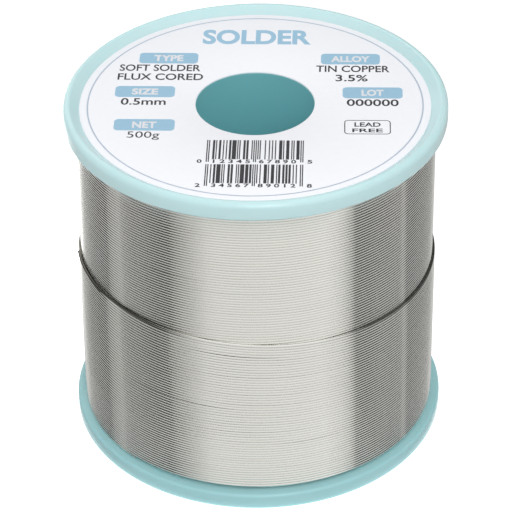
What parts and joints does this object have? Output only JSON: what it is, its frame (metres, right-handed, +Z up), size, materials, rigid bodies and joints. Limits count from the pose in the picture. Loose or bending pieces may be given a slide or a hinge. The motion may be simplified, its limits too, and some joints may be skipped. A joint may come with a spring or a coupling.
{
  "type": "solder wire spool",
  "caption": "Full spool of thin soft solder wire: a moulded plastic spool with raised rims, a round paper label and a spindle bore, wound level with bright wire whose free end can be lifted.",
  "frame": {"origin": "centre of the lower end, on the plane that the spool stands on", "axes": "+Z up along the spindle bore, -Y towards the front, where the label reads the right way up, +X to the right of the front"},
  "size_m": [0.064, 0.064, 0.0622],
  "materials": {
    "spool_plastic": "pale turquoise moulded polystyrene, soft gloss",
    "label_paper": "white coated paper, printed in light blue and dark grey",
    "solder_wire": "bright drawn tin-copper solder, slightly satin"
  },
  "bodies": {
    "wound_spool": {"spool_half_lower": "spool_plastic", "spool_half_upper": "spool_plastic", "label": "label_paper", "wire_layer_01": "solder_wire", "wire_layer_02": "solder_wire", "wire_layer_03": "solder_wire", "wire_layer_04": "solder_wire", "wire_layer_05": "solder_wire", "wire_layer_06": "solder_wire", "wire_layer_07": "solder_wire", "wire_layer_08": "solder_wire", "wire_layer_09": "solder_wire", "wire_layer_10": "solder_wire", "wire_layer_11": "solder_wire", "wire_layer_12": "solder_wire", "wire_layer_13": "solder_wire", "wire_layer_14": "solder_wire", "wire_layer_15": "solder_wire", "wire_layer_16": "solder_wire", "wire_layer_17": "solder_wire", "wire_layer_18": "solder_wire", "wire_layer_19": "solder_wire", "wire_layer_20": "solder_wire", "wire_layer_21": "solder_wire", "wire_layer_22": "solder_wire", "wire_layer_23": "solder_wire", "wire_part_layer": "solder_wire"},
    "free_end": {"wire_free_end": "solder_wire"}
  },
  "joints": [
    {"name": "free_end_lift", "type": "hinge", "parent": "wound_spool", "child": "free_end", "pos_m": [-0.02362, -0.01982, 0.03447], "axis": [0, 0, 1], "range_deg": [0, 70]}
  ]
}
